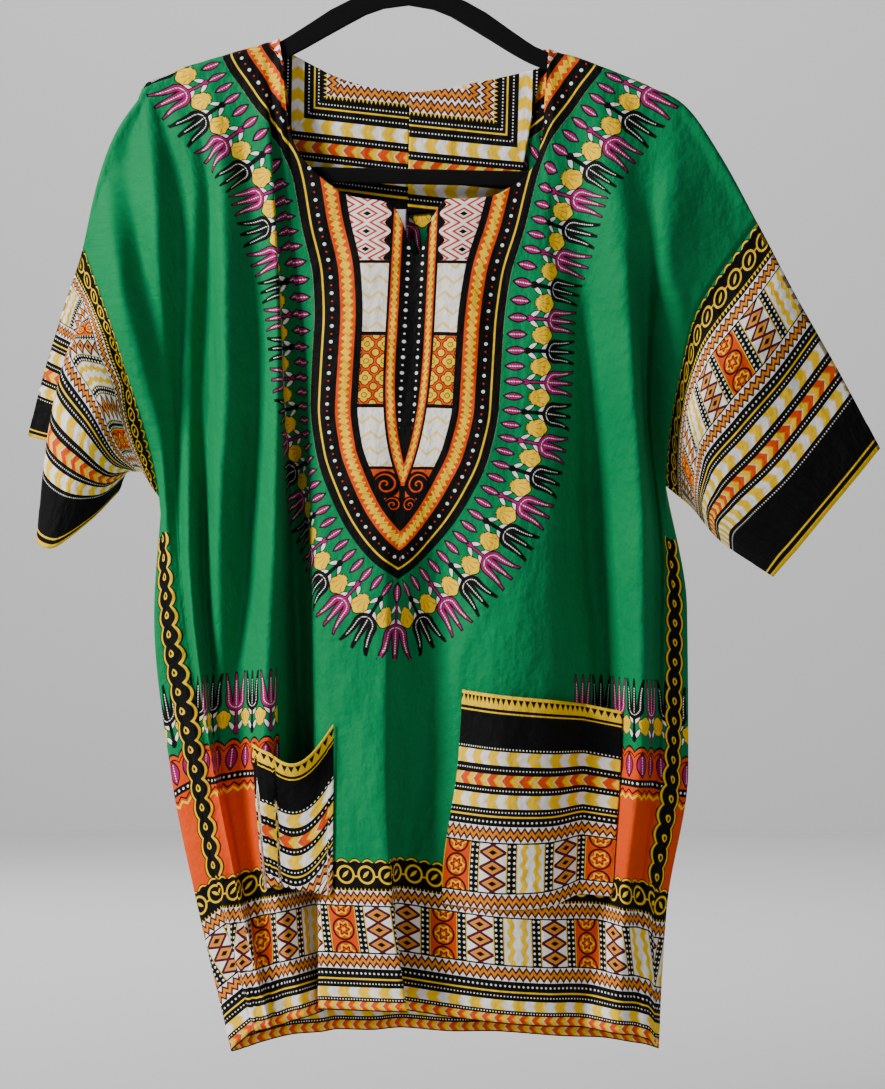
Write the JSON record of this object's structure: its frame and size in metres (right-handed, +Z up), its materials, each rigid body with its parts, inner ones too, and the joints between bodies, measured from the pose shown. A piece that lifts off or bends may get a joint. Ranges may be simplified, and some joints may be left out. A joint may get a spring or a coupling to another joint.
{
  "type": "dashiki shirt with its hanger",
  "caption": "Boxy short-sleeved pullover shirt in wax-style print with a square slit neckline and patch pockets, hung flat on a slim padded hanger.",
  "frame": {"origin": "inside top of the hanger's hook, where a rail carries it", "axes": "+Z up, the shirt's front faces -Y, +X is to the viewer's right"},
  "size_m": [0.6761, 0.1021, 0.9151],
  "materials": {
    "printed_cotton": "matt printed cotton",
    "border_print": "matt printed cotton",
    "pocket_print": "matt printed cotton",
    "facing_print": "matt printed cotton",
    "tag_cloth": "matt woven tape",
    "flocked_plastic": "black flock",
    "hook_steel": "polished"
  },
  "bodies": {
    "root": {"front": "printed_cotton", "back": "printed_cotton", "sleeve_left": "border_print", "sleeve_right": "border_print", "pocket_left": "pocket_print", "pocket_right": "pocket_print", "neck_facing_left": "facing_print", "neck_facing_right": "facing_print", "neck_tag": "tag_cloth", "hanger_body": "flocked_plastic", "hanger_hook": "hook_steel"}
  },
  "joints": []
}
